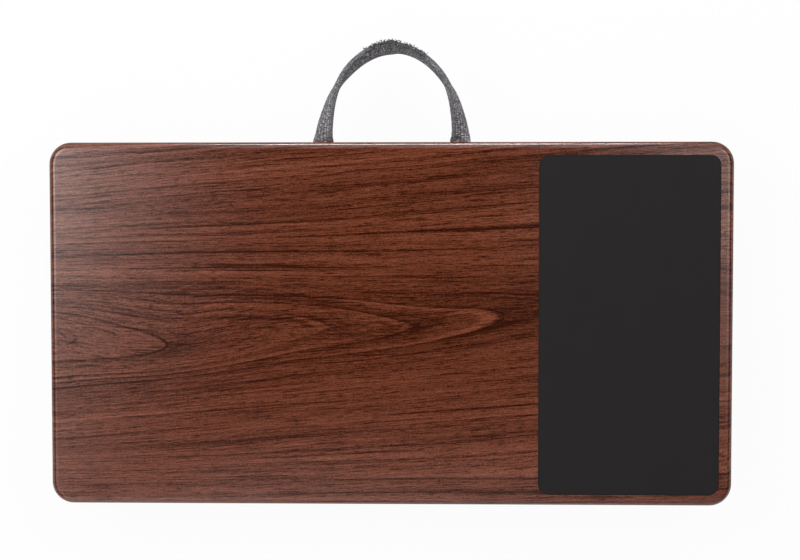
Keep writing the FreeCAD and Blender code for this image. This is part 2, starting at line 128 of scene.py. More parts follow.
def new_finish(name, constants):
    """A material and its shader. What is the same all over is set on the shader's own sockets."""
    material = bpy.data.materials.new(name)
    material.use_nodes = True
    shader = Wire(material.node_tree.nodes["Principled BSDF"].outputs[0])
    return material, shader.put(constants)


def millimetres(shader, middle=(0, 0, 0)):
    """Object coordinates in millimetres from a middle point, the unit of every pattern's size."""
    spot = shader.add("TexCoord", {}, {}, out="Object")
    centred = spot.add("VectorMath", {"operation": "SUBTRACT"}, {0: spot, 1: tuple(middle)})
    return spot.add("VectorMath", {"operation": "SCALE"}, {0: centred, "Scale": 1 / MM})


def split(vector):
    """The x, y and z of a vector."""
    first = vector.add("SeparateXYZ", {}, {0: vector})
    return [Wire(socket) for socket in first.socket.node.outputs]


def join(x, y, z):
    """A vector from its x, which is a socket, and y and z, which may be numbers."""
    return x.add("CombineXYZ", {}, {0: x, 1: y, 2: z})


def cloudy(vector, size, detail=2.0, rough=0.5):
    """Soft noise from 0 to 1 whose blots are about size across."""
    sockets = {"Vector": vector, "Scale": 1 / size, "Detail": detail, "Roughness": rough}
    return vector.add("TexNoise", {}, sockets, out="Fac")


def step(value, low, high):
    """0 below low, 1 above high, smooth between. With low over high it falls instead."""
    sockets = {"Value": value, "From Min": low, "From Max": high}
    return value.add("MapRange", {"interpolation_type": "SMOOTHSTEP"}, sockets)


def shades(value, stops, easing="LINEAR"):
    """A colour read from (place, colour) stops."""
    return value.add("ValToRGB", {"stops": stops, "easing": easing}, {"Fac": value})


def embossed(height, depth, strength=1.0):
    """A normal that follows a height from 0 to 1, depth in metres."""
    return height.add("Bump", {}, {"Height": height, "Distance": depth, "Strength": strength})


def dress(node, material):
    """Gives a CAD node its finish."""
    slots = frame["nodes"][node].data.materials
    slots.clear()
    slots.append(material)


def fibreboard():
    """Pressed wood fibre: pale brown, with short fibres and fine dark flecks."""
    material, shader = new_finish("fibreboard", {"Roughness": 0.9})
    spot = millimetres(shader)
    fibres = cloudy(spot, FIBRE_SIZE, detail=4, rough=0.7)
    colour = shades(fibres, FIBREBOARD_TINTS)
    shader.put({"Base Color": colour, "Normal": embossed(fibres, FIBRE_DEPTH)})
    return material


dress("board_core", fibreboard())

# The woodgrain film: a printed sheet, heat-pressed over the board's top and rounded edges. The print
# is a flat-sawn red-brown timber with nested arches along its middle. Short pores are pressed in, and
# the clear satin coat over them is thinner on the dark grain and ends on the way down the edges.

film_low, film_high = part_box("woodgrain_film")
film_middle = Vector((*((film_low + film_high) / 2).xy, film_high.z))
film_half = (film_high - film_low) / 2 / MM

# The arches' axis climbs to the right and sways about that slope, mm from the board's middle. The sway
# dies out away from the axis, and the two sides of the axis have streaks of their own
AXIS_SLOPE = 0.047
AXIS_SWAY = ((-266, 2.5), (-172, -7), (-128, -3), (-71, 0.5), (18, -2), (86, 2), (266, 1.5))
AXIS_REACH = (42, 10)
AXIS_BLEND = 14
# The grain turns off that slope towards the rear and the front, about a place left of the middle
REAR_TURN, REAR_TURN_RANGE = 0.06, (45, 100)
FRONT_TURN, FRONT_TURN_RANGE = 0.05, (-92, -122)
TURN_CENTRE = -46
# Its fine fibres cross the rings at a small slope of their own
FIBRE_RANGE = 40
REAR_FIBRE_SLOPE, FRONT_FIBRE_SLOPE = 0.03, 0.05
# Slow waves in the grain, mm
WAVE_LENGTH, WAVE_WIDTH, WAVE_HEIGHT, WAVE_SEED = 130, 30, 4, 3
# The arches open to the right from their root, and they fade on their flanks and past the outer rings
ARCH_START = -262
ARCH_SPREAD = 4.2
ARCH_REACH = (58, 46)
ARCH_FLANK = (4, 15)
# The arches in the middle of the board end in a point, the others in a round
ARCH_POINT = 10
POINTS_START, POINTS_END = (-150, -70), (80, 45)
# How light the print is at each ring, mm from the arches' root: a ring starts dark and pales outwards
RING_TONES = (
    (0, 0.48), (7, 0.43), (9, 0.5), (19.1, 0.57), (19.4, 0.2), (21, 0.25), (23.5, 0.29), (26, 0.33),
    (28.9, 0.48), (30, 0.66), (30.15, 0.2), (32.2, 0.26), (32.8, 0.56), (34.2, 0.86), (34.35, 0.06),
    (36.4, 0.18), (37.3, 0.32), (37.45, 0.68), (38, 0.68), (38.15, 0.0), (40.2, 0.14), (42.4, 0.42),
    (42.6, 0.18), (45.2, 0.38), (47.3, 0.54), (47.5, 0.26), (50, 0.42), (60, 0.5),
)
# Broad lighter and darker bands of the print, mm towards the rear from the board's middle
BROAD_TONES = (
    (-141, 0.06), (-100, 0.03), (-60, 0), (80, 0), (91, -0.07), (105, -0.07), (116, 0), (141, 0.01),
)
# A painted sheen that lightens the rear left corner, and a darker cloud right of the middle: where each
# sets in, in mm
PAINTED_SHEEN_X, PAINTED_SHEEN_Y = (-100, -250), (-10, 70)
DARK_CLOUD_X, DARK_CLOUD_REAR, DARK_CLOUD_FRONT = (-10, 50), (62, 30), (-2, 12)
# Rings drawn as a fine dark line of even width: place, half width in mm, strength
RING_LINES = ((19.3, 1.6, 0.5), (34.5, 1.0, 0.16), (38.35, 1.2, 0.3), (25.6, 0.8, 0.12))
# Streaks of the print: mm along the grain, mm across it, seed of the noise, and its detail if not 1
BROAD = (700, 17, 1)
BANDS = (450, 6.5, 7)
GROWTH = (260, 2.4, 11, 2)
RULINGS = (250, 2.7, 17)
HAIRS = (30, 1.2, 23)
DASHES = (7, 0.7, 37)
FLECKS = (1.7, 0.7, 61)
PATCHES = (60, 22, 51)
YEAR_DRIFT = (600, 14, 81)
LATE_PATCHES = (220, 5, 83)
# Where the noise of a streak becomes a dark line: its values from none to all
LINE_EDGE, THREAD_EDGE, PIT_EDGE, LATE_EDGE = (-0.09, -0.15), (-0.09, -0.17), (-0.1, -0.17), (-0.12, 0.1)
# Years of growth: mm from ring to ring, how far they wander, and the share that is dark late wood
YEAR_WIDTH, YEAR_WANDER, LATE_SHARE = 11, 0.9, 0.3
MEAN_TONE = 0.523
PORE_DEPTH = 0.01 * MM
# The coat ends between these heights, mm from the top
COAT_END = (-2.4, -1.2)
FILM_TINTS = (
    (0.0, (0.0270, 0.0042, 0.0010)),
    (0.25, (0.060, 0.0117, 0.0033)),
    (0.5, (0.114, 0.0272, 0.0111)),
    (0.75, (0.178, 0.0478, 0.0226)),
    (1.0, (0.252, 0.0765, 0.0375)),
)


def curve_through(value, points, easing):
    """A curve through (place, height) points, read at value."""
    places, heights = zip(*points)
    low, high = min(heights), max(heights)
    start, reach = places[0], places[-1] - places[0]
    greys = [((height - low) / (high - low),) * 3 for height in heights]
    stops = [((place - start) / reach, grey) for place, grey in zip(places, greys)]
    return shades((value - start) / reach, stops, easing) * (high - low) + low


def woodgrain():
    """The printed film. The figure runs over the edges and down the sides as the sheet does."""
    material, shader = new_finish("woodgrain", {"IOR": 1.25, "Coat IOR": 1.6, "Coat Roughness": 0.18})
    x, y, z = split(millimetres(shader, film_middle))
    x = x * (1 - z / film_half.x)
    y = y * (1 - z / film_half.y)
    wave = cloudy(join(x / WAVE_LENGTH, y / WAVE_WIDTH, WAVE_SEED), 1, detail=1) - 0.5
    turn = step(y, *REAR_TURN_RANGE) * REAR_TURN - step(y, *FRONT_TURN_RANGE) * FRONT_TURN
    level = y - x * AXIS_SLOPE - turn * (x - TURN_CENTRE) + wave * WAVE_HEIGHT
    near_axis = step(level.maths("ABSOLUTE", level), *AXIS_REACH)
    height = level - curve_through(x, AXIS_SWAY, "CARDINAL") * near_axis
    rise = x.maths("MAXIMUM", x - ARCH_START, 0) * ARCH_SPREAD
    point = step(x, *POINTS_START) * step(x, *POINTS_END) * ARCH_POINT
    bowed = x.maths("ABSOLUTE", height) * x.maths("SQRT", height * height + point * point)
    ring = x.maths("SQRT", bowed + rise)
    ring_slope = x.maths("SQRT", height * height + point * point / 4 + (ARCH_SPREAD / 2) ** 2) / ring
    side = step(height, -AXIS_BLEND, AXIS_BLEND)
    front_slope = step(height, 0, -FIBRE_RANGE) * FRONT_FIBRE_SLOPE
    rear_slope = step(height, 0, FIBRE_RANGE) * REAR_FIBRE_SLOPE
    fibre = height - x * (front_slope - rear_slope)

    def streaks(across_place, along, across, seed, detail=1.0):
        """Noise from -0.5 to 0.5, drawn out along the grain: along by across, in mm."""
        return cloudy(join(x / along, across_place / across, side * 0.9 + seed), 1, detail) - 0.5

    broad = streaks(ring, *BROAD)
    bands = streaks(ring, *BANDS)
    growth = streaks(ring, *GROWTH)
    rulings = streaks(ring, *RULINGS)
    hairs = streaks(fibre, *HAIRS)
    dashes = streaks(fibre, *DASHES)
    flecks = streaks(fibre, *FLECKS)
    patchy = streaks(height, *PATCHES)
    jagged = ring + dashes * ring_slope * 0.9
    rings = curve_through(jagged, RING_TONES, "LINEAR") - 0.5
    for place, half_width, strength in RING_LINES:
        gap = ring.maths("ABSOLUTE", jagged - place) / ring_slope
        rings = rings - step(gap, half_width, 0.3 * half_width) * strength
    flank = step(x.maths("ABSOLUTE", height), *ARCH_FLANK)
    near = step(ring, *ARCH_REACH) * (0.75 + step(patchy, -0.2, 0.05) * 0.25) * (1 - flank * 0.4)
    calm = 1 - near * 0.6
    lines = step(rulings, *LINE_EDGE) * (0.35 + step(patchy, 0.2, -0.05) * 0.65)
    threads = step(hairs, *THREAD_EDGE)
    pits = step(dashes, *PIT_EDGE)
    year = ring / YEAR_WIDTH + streaks(ring, *YEAR_DRIFT) * YEAR_WANDER
    late = step(year.maths("FRACT", year), LATE_SHARE, 0) * step(streaks(ring, *LATE_PATCHES), *LATE_EDGE)
    painted_sheen_corner = step(x, *PAINTED_SHEEN_X) * step(y, *PAINTED_SHEEN_Y)
    dark_cloud = step(x, *DARK_CLOUD_X) * step(y, *DARK_CLOUD_REAR) * step(y, *DARK_CLOUD_FRONT)
    # Each layer of the tone has its own strength: the print's layers, and the painted sheen at the rear
    # left corner
    tone = (
        MEAN_TONE
        + curve_through(y, BROAD_TONES, "EASE")
        # Painted sheen: the rear left corner is made lighter, as a softbox's reflection would make it
        + painted_sheen_corner * 0.06
        - dark_cloud * 0.08
        + rings * near * 0.76
        + broad * calm * 0.36
        + bands * calm * 0.46
        + growth * calm * 0.52
        + hairs * 0.52
        + dashes * 0.76
        + flecks * 0.86
        - lines * 0.26
        - late * calm * 0.3
        - threads * 0.19
        - pits * 0.16
    )
    shader.put({
        "Base Color": shades(tone, FILM_TINTS),
        "Roughness": 0.18 + pits * 0.03,
        "Coat Weight": (0.37 + tone * 0.83) * step(z, *COAT_END),
        "Normal": embossed(1 - pits, PORE_DEPTH, 0.15),
    })
    return material


dress("woodgrain_film", woodgrain())

# The backing sheet: a plain dark balancing film under the core, which keeps the board flat.
# It shows round the deck as the board's underside.

# A cloud in the skin is this many pebbles across
CLOUD_PEBBLES = 40


def pebbled(name, base, constants, lift, size, depth):
    """A plain moulded or pressed skin: one colour, and a fine pebble that is paler by lift."""
    material, shader = new_finish(name, constants)
    spot = millimetres(shader)
    pebble = cloudy(spot, size, detail=3, rough=0.6)
    cloud = cloudy(spot, CLOUD_PEBBLES * size, detail=1)
    tone = pebble * 0.7 + cloud * 0.3
    pale = [channel * lift for channel in base]
    colour = shades(tone, ((0.32, base), (0.68, pale)))
    shader.put({"Base Color": colour, "Normal": embossed(pebble, depth)})
    return material


BACKING_TINT = (0.011, 0.009, 0.008)
BACKING_PEBBLE = {"lift": 1.8, "size": 0.9, "depth": 0.06 * MM}
dress("backing_sheet", pebbled("backing", BACKING_TINT, {"Roughness": 0.55}, **BACKING_PEBBLE))

# The mouse pad and the adhesive that holds it in its recess: a die-cut charcoal sheet with a fine
# matt grain for the mouse to run on, over a double-sided film a little smaller than itself.

ADHESIVE_TINT = (0.5, 0.5, 0.46)
ADHESIVE_PEBBLE = {"lift": 1.3, "size": 2.0, "depth": 0.05 * MM}
PAD_TINT = (0.0097, 0.0083, 0.0088)
PAD_PEBBLE = {"lift": 1.2, "size": 0.5, "depth": 0.012 * MM}
PAD_SKIN = {"Roughness": 0.78, "Specular IOR Level": 0.25}
dress("pad_adhesive", pebbled("adhesive", ADHESIVE_TINT, {"Roughness": 0.5}, **ADHESIVE_PEBBLE))
dress("mouse_pad", pebbled("mouse_pad", PAD_TINT, PAD_SKIN, **PAD_PEBBLE))

# The deck and its staples: a thin hardboard panel that carries the cushion, held to the board by
# eight wire staples. Four more go through the ends of the handle, which lie in its notches.

MAT_SIZE = 1.6
MAT_DEPTH = 0.12 * MM
HARDBOARD_TINTS = (
    (0.3, (0.09, 0.052, 0.03)),
    (0.5, (0.19, 0.12, 0.07)),
    (0.72, (0.3, 0.2, 0.125)),
)
WIRE_TINT = (0.55, 0.55, 0.56, 1)
SCRATCH_SIZE, SCRATCH_STRETCH = 0.25, 10
SCRATCH_DEPTH = 0.02 * MM


def hardboard():
    """Brown pressed board with a matted fibre face."""
    material, shader = new_finish("hardboard", {"Roughness": 0.8})
    spot = millimetres(shader)
    matted = cloudy(spot, MAT_SIZE, detail=5, rough=0.7)
    colour = shades(matted, HARDBOARD_TINTS)
    shader.put({"Base Color": colour, "Normal": embossed(matted, MAT_DEPTH)})
    return material


def staple_wire():
    """Galvanised flat wire with a drawn surface."""
    material, shader = new_finish("staple_wire", {"Metallic": 1.0, "Base Color": WIRE_TINT})
    x, y, z = split(millimetres(shader))
    drawn = cloudy(join(x, y, z / SCRATCH_STRETCH), SCRATCH_SIZE, detail=2)
    shader.put({"Roughness": 0.3 + drawn * 0.25, "Normal": embossed(drawn, SCRATCH_DEPTH)})
    return material


dress("deck_panel", hardboard())
wire_finish = staple_wire()
dress("deck_staples", wire_finish)
dress("handle_staples", wire_finish)

# The base cloth: a dark woven lining, cut to the deck's outline and glued over its underside.
# The bolsters are sewn to it, and it shows in the channel between them.

cloth_low, cloth_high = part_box("base_cloth")
CLOTH_CORNER = 14 * MM
CORNER_SEGMENTS = 6
LINING_GRID = 8 * MM
LINING_THICKNESS = 0.6 * MM
LINING_RIPPLE, LINING_RIPPLE_SPAN = 0.15 * MM, 30 * MM
LINING_YARN, LINING_FLECK = 0.7, 1.2
WEAVE_DEPTH = 0.25 * MM
# Each yarn reads the noise a jump from the next one, and a shade runs on for a few yarns' widths
YARN_JUMP, YARN_RUN = 1.73, 2.5
WARP_SEED, WEFT_SEED, FUZZ_SEED = 3, 9, 20
FUZZ_SIZE = 0.45
LINING_TINTS = (
    (0.2, (0.008, 0.008, 0.009)),
    (0.55, (0.028, 0.029, 0.031)),
    (0.9, (0.06, 0.062, 0.066)),
)
CLOTH_SHEEN = {"Roughness": 0.95, "Specular IOR Level": 0.15, "Sheen Weight": 0.15, "Sheen Roughness": 0.6}


def new_piece(name, mesh_maker, materials):
    """An object at the origin whose mesh a bmesh holds."""
    mesh = bpy.data.meshes.new(name)
    mesh_maker.to_mesh(mesh)
    mesh_maker.free()
    for material in materials:
        mesh.materials.append(material)
    mesh.polygons.foreach_set("use_smooth", [True] * len(mesh.polygons))
    piece = bpy.data.objects.new(name, mesh)
    bpy.context.scene.collection.objects.link(piece)
    return piece


def cut_sheet(low, high, height, corner, grid):
    """A flat sheet with rounded corners, cut into a grid so that it can ripple."""
    sheet = bmesh.new()
    bmesh.ops.create_grid(sheet, x_segments=1, y_segments=1, size=0.5)
    bmesh.ops.scale(sheet, verts=sheet.verts, vec=(high.x - low.x, high.y - low.y, 1))
    middle = (low + high) / 2
    bmesh.ops.translate(sheet, verts=sheet.verts, vec=(middle.x, middle.y, height))
    rounding = {"affect": "VERTICES", "segments": CORNER_SEGMENTS, "profile": 0.5, "material": -1}
    bmesh.ops.bevel(sheet, geom=sheet.verts[:], offset=corner, **rounding)
    for axis, side in ((0, Vector((1, 0, 0))), (1, Vector((0, 1, 0)))):
        reach = high[axis] - low[axis]
        count = round(reach / grid)
        for cut in range(1, count):
            place = low + side * (reach * cut / count)
            geometry = sheet.verts[:] + sheet.edges[:] + sheet.faces[:]
            bmesh.ops.bisect_plane(sheet, geom=geometry, plane_co=place, plane_no=side)
    return sheet


def lay_weave(sheet):
    """Gives every face the weave's coordinates in mm, laid flat along the axis it faces most."""
    weave = sheet.loops.layers.uv.verify()
    for face in sheet.faces:
        facing = max(range(3), key=lambda axis: abs(face.normal[axis]))
        first, second = [axis for axis in range(3) if axis != facing]
        for loop in face.loops:
            loop[weave].uv = (loop.vert.co[first] / MM, loop.vert.co[second] / MM)


def weave_finish(name, yarn, tints, fleck, constants):
    """A plain weave read from UVs in mm. Each yarn's shade wanders along it, more so with fleck, and the
    gaps between the yarns are darkened with painted shade.
    """
    material, shader = new_finish(name, constants)
    across, along, _ = split(shader.add("TexCoord", {}, {}, out="UV"))
    across, along = across / yarn, along / yarn
    column, row = across.maths("FLOOR", across), along.maths("FLOOR", along)
    warp = cloudy(join(column * YARN_JUMP, along / YARN_RUN, WARP_SEED), 1, detail=1)
    weft = cloudy(join(across / YARN_RUN, row * YARN_JUMP, WEFT_SEED), 1, detail=1)
    over = across.maths("FLOORED_MODULO", column + row, 2)
    shade = weft + (warp - weft) * over
    fuzz = cloudy(join(across, along, FUZZ_SEED), FUZZ_SIZE, detail=2)
    crown_and_gap_shade = across.maths("PINGPONG", across, 0.5) * along.maths("PINGPONG", along, 0.5) * 4
    # The crown term raises each yarn's middle in the bump and darkens the gaps between yarns in the colour:
    # painted shade
    tone = 0.5 + (shade - 0.5) * fleck + (fuzz - 0.5) * 0.5 + (crown_and_gap_shade - 0.5) * 0.55
    shader.put({"Base Color": shades(tone, tints), "Normal": embossed(crown_and_gap_shade + fuzz * 0.5, WEAVE_DEPTH)})
    return material


lining = cut_sheet(cloth_low, cloth_high, (cloth_low.z + cloth_high.z) / 2, CLOTH_CORNER, LINING_GRID)
for vertex in lining.verts:
    vertex.co.z += LINING_RIPPLE * noise.noise(vertex.co / LINING_RIPPLE_SPAN)
lay_weave(lining)
lining_finish = weave_finish("base_cloth", LINING_YARN, LINING_TINTS, LINING_FLECK, CLOTH_SHEEN)
base_cloth = new_piece("base_cloth_lining", lining, [lining_finish])
thick = base_cloth.modifiers.new("thickness", "SOLIDIFY")
thick.thickness, thick.offset = LINING_THICKNESS, 0
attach(base_cloth, "desk")
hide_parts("base_cloth")

# The bolsters: two grey heather cloth covers with loose stuffing. The body of each is gathered into
# a flat top panel, whose border is sewn to the base cloth, and it is flat where it rests.

SEAM_BORDER = 8 * MM
COVER_THICKNESS = 1.2 * MM
START_SHRINK = 8 * MM
START_LIFT_SHARE = 0.3
TOP_TUCK_SHARE = 0.4
BOLSTER_CORNER, BOLSTER_CORNER_SEGMENTS = 34 * MM, 6
BOLSTER_FOOT, BOLSTER_FOOT_SEGMENTS = 17 * MM, 5
STUFFING_VOXEL = 5 * MM
STUFFING_FRAMES = 20
STUFFING_PRESSURE = 4
MOST_SWELL = 12 * MM
PUCKER, PUCKER_SPAN, PUCKER_FADE = 1.6 * MM, 8 * MM, 13 * MM
SLACK, SLACK_SPAN = 1.1 * MM, 38 * MM
SEAM_HOLD = 4 * MM
PANEL_GRID = 7 * MM
PANEL_THICKNESS = 0.9 * MM
PANEL_RIPPLE, PANEL_RIPPLE_SPAN = 0.5 * MM, 16 * MM
STITCH_LENGTH, STITCH_PITCH, STITCH_THICKNESS = 3.0 * MM, 4.2 * MM, 0.55 * MM
STITCH_SINK = 0.1 * MM
PLY_SIZE, PLY_DEPTH = 0.3, 0.05 * MM
THREAD_TINTS = ((0.3, (0.02, 0.02, 0.022)), (0.7, (0.085, 0.086, 0.09)))
HEATHER_YARN, HEATHER_FLECK = 0.85, 1.7
HEATHER_TINTS = (
    (0.12, (0.038, 0.0362, 0.0400)),
    (0.42, (0.148, 0.141, 0.153)),
    (0.6, (0.294, 0.280, 0.301)),
    (0.95, (0.640, 0.620, 0.650)),
)
cover_finish = weave_finish("cover_cloth", HEATHER_YARN, HEATHER_TINTS, HEATHER_FLECK, CLOTH_SHEEN)


def sewing_thread():
    """Twisted dark grey thread."""
    material, shader = new_finish("sewing_thread", {"Roughness": 0.7})
    x, y, z = split(millimetres(shader))
    ply = cloudy(join(x + y, y - z, z + x), PLY_SIZE, detail=1)
    shader.put({"Base Color": shades(ply, THREAD_TINTS), "Normal": embossed(ply, PLY_DEPTH)})
    return material


thread_finish = sewing_thread()


def bolster_block(low, high):
    """The unstuffed body: a block with rounded corners and a rounded foot, smaller than it will be."""
    block = bmesh.new()
    bmesh.ops.create_cube(block, size=1)
    bmesh.ops.scale(block, verts=block.verts, vec=high - low)
    bmesh.ops.translate(block, verts=block.verts, vec=(low + high) / 2)
    rounding = {"affect": "EDGES", "profile": 0.5, "material": -1}
    upright = [edge for edge in block.edges if abs(edge.verts[0].co.z - edge.verts[1].co.z) > MM]
    corner = {"offset": BOLSTER_CORNER, "segments": BOLSTER_CORNER_SEGMENTS}
    bmesh.ops.bevel(block, geom=upright, **corner, **rounding)
    foot = [edge for edge in block.edges if all(vertex.co.z < low.z + MM for vertex in edge.verts)]
    sole = {"offset": BOLSTER_FOOT, "segments": BOLSTER_FOOT_SEGMENTS}
    bmesh.ops.bevel(block, geom=foot, **sole, **rounding)
    return block


def applied(piece):
    """Replaces a piece's mesh by what its modifiers make of it, and removes them."""
    graph = bpy.context.evaluated_depsgraph_get()
    mesh = bpy.data.meshes.new_from_object(piece.evaluated_get(graph))
    piece.modifiers.clear()
    piece.data = mesh


def stuff(piece, seam_height):
    """Swells the cover as its stuffing does, with the gathered top held in the seam."""
    remesh = piece.modifiers.new("even_cloth", "REMESH")
    remesh.mode, remesh.voxel_size = "VOXEL", STUFFING_VOXEL
    applied(piece)
    before = [vertex.co.copy() for vertex in piece.data.vertices]
    seam = piece.vertex_groups.new(name="seam")
    seam.add([i for i, place in enumerate(before) if place.z > seam_height], 1, "REPLACE")
    cloth = piece.modifiers.new("stuffing", "CLOTH")
    cloth.settings.use_pressure = True
    cloth.settings.uniform_pressure_force = STUFFING_PRESSURE
    cloth.settings.vertex_group_mass = "seam"
    cloth.settings.effector_weights.gravity = 0
    for moment in range(1, STUFFING_FRAMES + 1):
        bpy.context.scene.frame_set(moment)
    applied(piece)
    bpy.context.scene.frame_set(1)
    for vertex, start in zip(piece.data.vertices, before):
        swell = vertex.co - start
        if swell.length > MOST_SWELL:
            vertex.co = start + swell * (MOST_SWELL / swell.length)


def gather(sheet, seam_height):
    """Puckers the cloth below the seam, slackens it a little elsewhere and flattens it on the floor."""
    sheet.normal_update()
    for vertex in sheet.verts:
        plan = Vector((vertex.co.x, vertex.co.y, 0))
        below = max(0, seam_height - vertex.co.z)
        pucker = noise.noise(plan / PUCKER_SPAN) * PUCKER * math.exp(-below / PUCKER_FADE)
        slack = noise.noise(vertex.co / SLACK_SPAN) * SLACK
        vertex.co += vertex.normal * (pucker + slack) * min(1, below / SEAM_HOLD)
        vertex.co.z = max(0, vertex.co.z)


def add_stitch(sewing, place, along, out):
    """One stitch: a short fat thread that dips into the cloth at both ends."""
    aside = out.cross(along)
    turn = Matrix((along, aside, out)).transposed().to_4x4()
    shape = Matrix.Diagonal((STITCH_LENGTH / 2, STITCH_THICKNESS / 2, STITCH_THICKNESS / 2, 1))
    matrix = Matrix.Translation(place) @ turn @ shape
    bmesh.ops.create_uvsphere(sewing, u_segments=6, v_segments=4, radius=1, matrix=matrix)


def sew_round(low, high, height, inset):
    """A row of stitches round a panel's border, just inside its edge and on its underside."""
    sewing = bmesh.new()
    first = low + Vector((inset, inset, 0))
    last = high - Vector((inset, inset, 0))
    for along, direction in enumerate((Vector((1, 0, 0)), Vector((0, 1, 0)))):
        aside = 1 - along
        reach = last[along] - first[along] - 2 * CLOTH_CORNER
        count = int(reach / STITCH_PITCH)
        for side in (first[aside], last[aside]):
            for stitch in range(count):
                place = Vector((0, 0, height))
                place[along] = first[along] + CLOTH_CORNER + reach * (stitch + 0.5) / count
                place[aside] = side
                add_stitch(sewing, place, direction, Vector((0, 0, -1)))
    return sewing


for side in ("left", "right"):
    cover_low, cover_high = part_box(f"bolster_cover_{side}")
    seam_height = cover_high.z - COVER_THICKNESS
    shrink = Vector((SEAM_BORDER + START_SHRINK / 2, SEAM_BORDER + START_SHRINK / 2, 0))
    body_low = cover_low + shrink + Vector((0, 0, START_LIFT_SHARE * START_SHRINK))
    body_high = Vector((*(cover_high - shrink).xy, seam_height + TOP_TUCK_SHARE * COVER_THICKNESS))
    body = new_piece(f"bolster_{side}", bolster_block(body_low, body_high), [])
    stuff(body, seam_height - STUFFING_VOXEL / 2)
    skin = bmesh.new()
    skin.from_mesh(body.data)
    gather(skin, seam_height)
    lay_weave(skin)
    skin.to_mesh(body.data)
    skin.free()
    body.data.materials.clear()
    body.data.materials.append(cover_finish)
    body.data.polygons.foreach_set("use_smooth", [True] * len(body.data.polygons))
    rounder = body.modifiers.new("rounder", "SUBSURF")
    rounder.levels = rounder.render_levels = 1
    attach(body, "desk")
    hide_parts(f"bolster_cover_{side}", f"bolster_fill_{side}")

    panel = cut_sheet(cover_low, cover_high, cover_high.z - COVER_THICKNESS / 2, CLOTH_CORNER, PANEL_GRID)
    for vertex in panel.verts:
        vertex.co.z -= PANEL_RIPPLE * abs(noise.noise(vertex.co / PANEL_RIPPLE_SPAN))
    lay_weave(panel)
    border = new_piece(f"bolster_border_{side}", panel, [cover_finish])
    layers = border.modifiers.new("layers", "SOLIDIFY")
    layers.thickness, layers.offset = PANEL_THICKNESS, 0
    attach(border, "desk")
    sewing = sew_round(cover_low, cover_high, seam_height - STITCH_SINK, SEAM_BORDER / 2)
    stitches = new_piece(f"bolster_stitches_{side}", sewing, [thread_finish])
    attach(stitches, "desk")

# The handle: a strip of the same heather cloth, folded and stitched along both edges. Its ends are
# stapled under the board, it stands on edge half way up the arch and leans outwards at the top.

tab_low, tab_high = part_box("handle_tab_right")
strap_width = tab_high.x - tab_low.x
strap_thickness = tab_high.z - tab_low.z
pivot = Vector(frame["joints"][0]["pos_m"])
arch_half_span = (tab_low.x + tab_high.x) / 2
ARCH_RISE = 67.3 * MM
ARCH_SQUARENESS = 1.9
ARCH_MEAN_RADIUS = 61 * MM
ARCH_DRIFT, TOP_DRIFT = 1.7 * MM, 0.8 * MM
DRIFT_START = 20 * MM
TWIST_START = 6.2 * MM
STRAP_STEP = 1.25 * MM
# The legs draw in a little near the roots: by how much, and where as shares of the arch
LEG_TUCK = 0.9 * MM
TUCK_PLACE_SHARE, TUCK_WIDTH_SHARE = 0.0825, 0.075
STRAP_ROUND_SEGMENTS = 32
STRAP_PUFF_SHARE, STRAP_PUFF_POWER = 0.95, 8
# The section is an oval with a flat face and a rounder edge
FACE_POWER, EDGE_POWER = 0.35, 0.7
WELD = 0.01 * MM
STITCH_ROW = 5.5 * MM
STITCH_GROOVE, STITCH_GROOVE_SHARE = 0.9 * MM, 0.3
STITCH_HEIGHT_SHARE = 0.36
ROWS_PER_STITCH = 3
# The raw edge is worn back all along, most in one bite left of the top
WEAR, WEAR_SPAN, WEAR_START, WEAR_SEED = 0.35 * MM, 2.2 * MM, 5 * MM, 5
BITE = 1.3 * MM
BITE_OPEN_SHARES, BITE_CLOSE_SHARES = (0.385, 0.405), (0.427, 0.421)
# Lean of the strap from flat, in degrees, at shares of the arch from its left root to its right
LEAN = (
    (0, 30), (0.02, 36), (0.059, 45), (0.098, 56), (0.137, 66), (0.178, 78), (0.2, 86), (0.223, 92),
    (0.272, 102.5), (0.333, 110), (0.434, 117), (0.465, 118.5), (0.497, 117.5), (0.52, 109), (0.555, 103.5),
    (0.606, 100), (0.655, 97.5), (0.728, 95), (0.777, 92), (0.8, 86), (0.822, 77), (0.863, 66),
    (0.902, 56), (0.941, 47), (0.98, 37), (1, 29),
)


def read_smooth(stations, share):
    """A smooth run through (share, value) stations."""
    after = next((i for i, (place, _) in enumerate(stations) if place >= share and i), len(stations) - 1)
    points = [stations[max(0, min(len(stations) - 1, after + offset))] for offset in (-2, -1, 0, 1)]
    (x0, y0), (x1, y1), (x2, y2), (x3, y3) = points
    t = (share - x1) / (x2 - x1)
    slope1 = (y2 - y0) / max(x2 - x0, 1e-6) * (x2 - x1)
    slope2 = (y3 - y1) / max(x3 - x1, 1e-6) * (x2 - x1)
    return (
        (2 * t**3 - 3 * t**2 + 1) * y1 + (t**3 - 2 * t**2 + t) * slope1
        + (3 * t**2 - 2 * t**3) * y2 + (t**3 - t**2) * slope2
    )


def ease(value, low, high):
    """0 at low, 1 at high, smooth between."""
    t = max(0, min(1, (value - low) / (high - low)))
    return t * t * (3 - 2 * t)


def arch_place(share):
    """The middle of the strap at a share of its arch, and how far it leans there."""
    turn = math.pi * (1 - share)
    round_share = 2 / ARCH_SQUARENESS
    x = math.copysign(abs(math.cos(turn)) ** round_share, math.cos(turn)) * arch_half_span
    y = math.sin(turn) ** round_share * ARCH_RISE
    from_root = 0.5 - abs(share - 0.5)
    tuck = LEG_TUCK * math.exp(-(((from_root - TUCK_PLACE_SHARE) / TUCK_WIDTH_SHARE) ** 2))
    drift = ARCH_DRIFT + TOP_DRIFT * math.sin(turn) - math.copysign(tuck, x)
    return pivot + Vector((x + drift, y, 0)), math.radians(read_smooth(LEAN, share))


